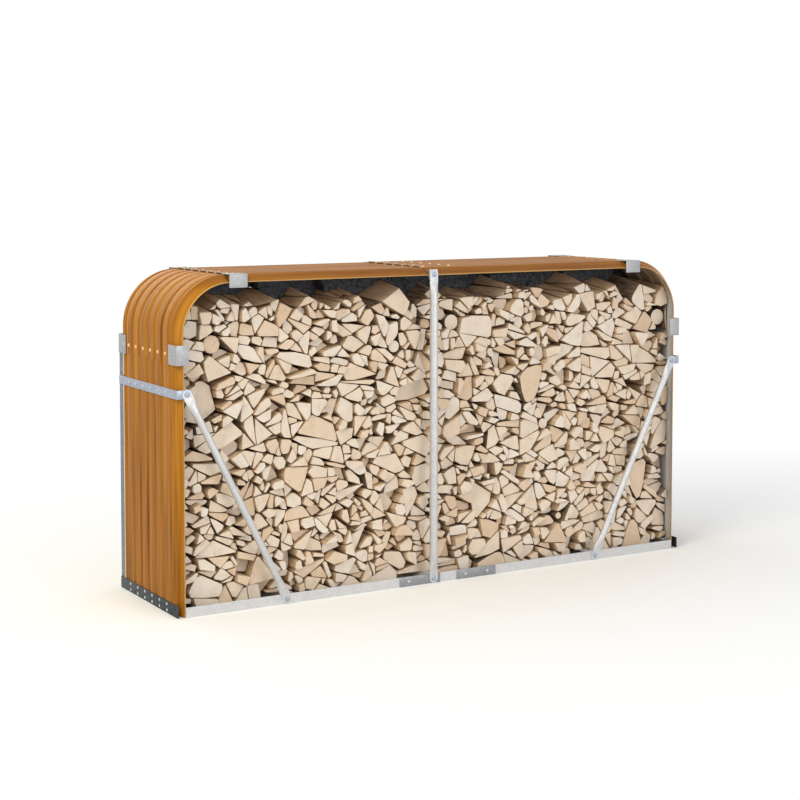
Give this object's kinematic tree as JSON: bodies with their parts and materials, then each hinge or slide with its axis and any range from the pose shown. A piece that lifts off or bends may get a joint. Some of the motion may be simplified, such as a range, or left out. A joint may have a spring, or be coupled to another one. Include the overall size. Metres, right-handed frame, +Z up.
{
  "type": "log store",
  "caption": "Open-fronted log store: ribbed wood-look steel sheets bent over rounded corners on galvanised bars, filled with split firewood.",
  "frame": {"origin": "on the ground, midway along and across the store", "axes": "+X along the front towards its right end, +Y from the open front to the open back, +Z up"},
  "size_m": [2.616, 0.682, 1.4048],
  "materials": {
    "wood_look_sheet": "glossy golden wood-look coating on ribbed steel sheet, pale grey coat on the inner face",
    "zinc": "light galvanised steel, satin, with faint spangle",
    "dark_zinc": "darker slate-grey galvanised steel, satin",
    "split_wood": "pale split firewood with rough sawn ends and bark"
  },
  "bodies": {
    "root": {"left_side_sheet": "wood_look_sheet", "left_corner_sheet": "wood_look_sheet", "left_roof_sheet": "wood_look_sheet", "right_roof_sheet": "wood_look_sheet", "right_corner_sheet": "wood_look_sheet", "right_side_sheet": "wood_look_sheet", "front_left_rail": "zinc", "front_middle_rail": "zinc", "front_right_rail": "zinc", "back_left_rail": "zinc", "back_middle_rail": "zinc", "back_right_rail": "zinc", "front_left_splice": "dark_zinc", "front_right_splice": "dark_zinc", "back_left_splice": "dark_zinc", "back_right_splice": "dark_zinc", "front_post": "zinc", "back_post": "zinc", "roof_bar": "zinc", "front_left_brace": "zinc", "front_right_brace": "zinc", "back_left_brace": "zinc", "back_right_brace": "zinc", "left_band": "zinc", "right_band": "zinc", "left_foot_strip": "dark_zinc", "right_foot_strip": "dark_zinc", "left_edge_strip": "zinc", "right_edge_strip": "zinc", "front_left_side_clip": "zinc", "front_left_roof_clip": "zinc", "front_right_roof_clip": "zinc", "front_right_side_clip": "zinc", "back_left_side_clip": "zinc", "back_left_roof_clip": "zinc", "back_right_roof_clip": "zinc", "back_right_side_clip": "zinc", "left_end_floor_bar": "zinc", "left_floor_bar": "zinc", "middle_floor_bar": "zinc", "right_floor_bar": "zinc", "right_end_floor_bar": "zinc", "left_firewood": "split_wood", "right_firewood": "split_wood"}
  },
  "joints": []
}
